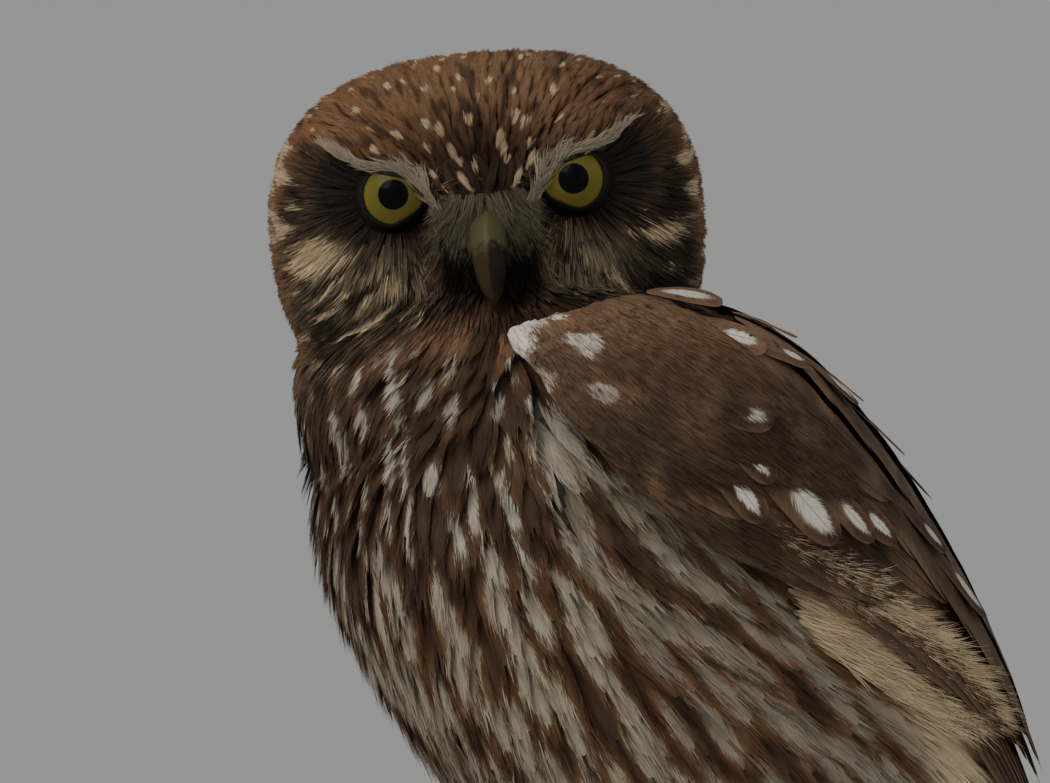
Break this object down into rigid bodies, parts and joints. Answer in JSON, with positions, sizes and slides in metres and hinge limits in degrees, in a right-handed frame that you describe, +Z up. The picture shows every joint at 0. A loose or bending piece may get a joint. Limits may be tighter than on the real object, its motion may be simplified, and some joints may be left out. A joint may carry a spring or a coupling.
{
  "type": "little owl",
  "caption": "Little owl standing at ease on both feet, its head turned over its left shoulder, wings folded, life size.",
  "frame": {"origin": "bottom centre of the bird's box, on the ground between its feet", "axes": "+Z up, the breast faces -Y, the bird's left side is +X"},
  "size_m": [0.093, 0.1528, 0.1778],
  "materials": {
    "body_plumage": "soft matte feathers",
    "flight_feathers": "satin matte feathers",
    "leg_plumage": "short hairy feathers",
    "claw_horn": "semi-gloss horn",
    "bill_horn": "semi-gloss horn",
    "eye_gloss": "wet gloss"
  },
  "bodies": {
    "root": {"bill_lower": "bill_horn", "bill_upper": "bill_horn", "claw_hind_left": "claw_horn", "claw_hind_right": "claw_horn", "claw_inner_left": "claw_horn", "claw_inner_right": "claw_horn", "claw_middle_left": "claw_horn", "claw_middle_right": "claw_horn", "claw_outer_left": "claw_horn", "claw_outer_right": "claw_horn", "eye_left": "eye_gloss", "eye_right": "eye_gloss", "foot_left": "leg_plumage", "foot_right": "leg_plumage", "head": "body_plumage", "leg_left": "leg_plumage", "leg_right": "leg_plumage", "neck": "body_plumage", "tail": "flight_feathers", "torso": "body_plumage", "wing_left": "flight_feathers", "wing_right": "flight_feathers"}
  },
  "joints": []
}
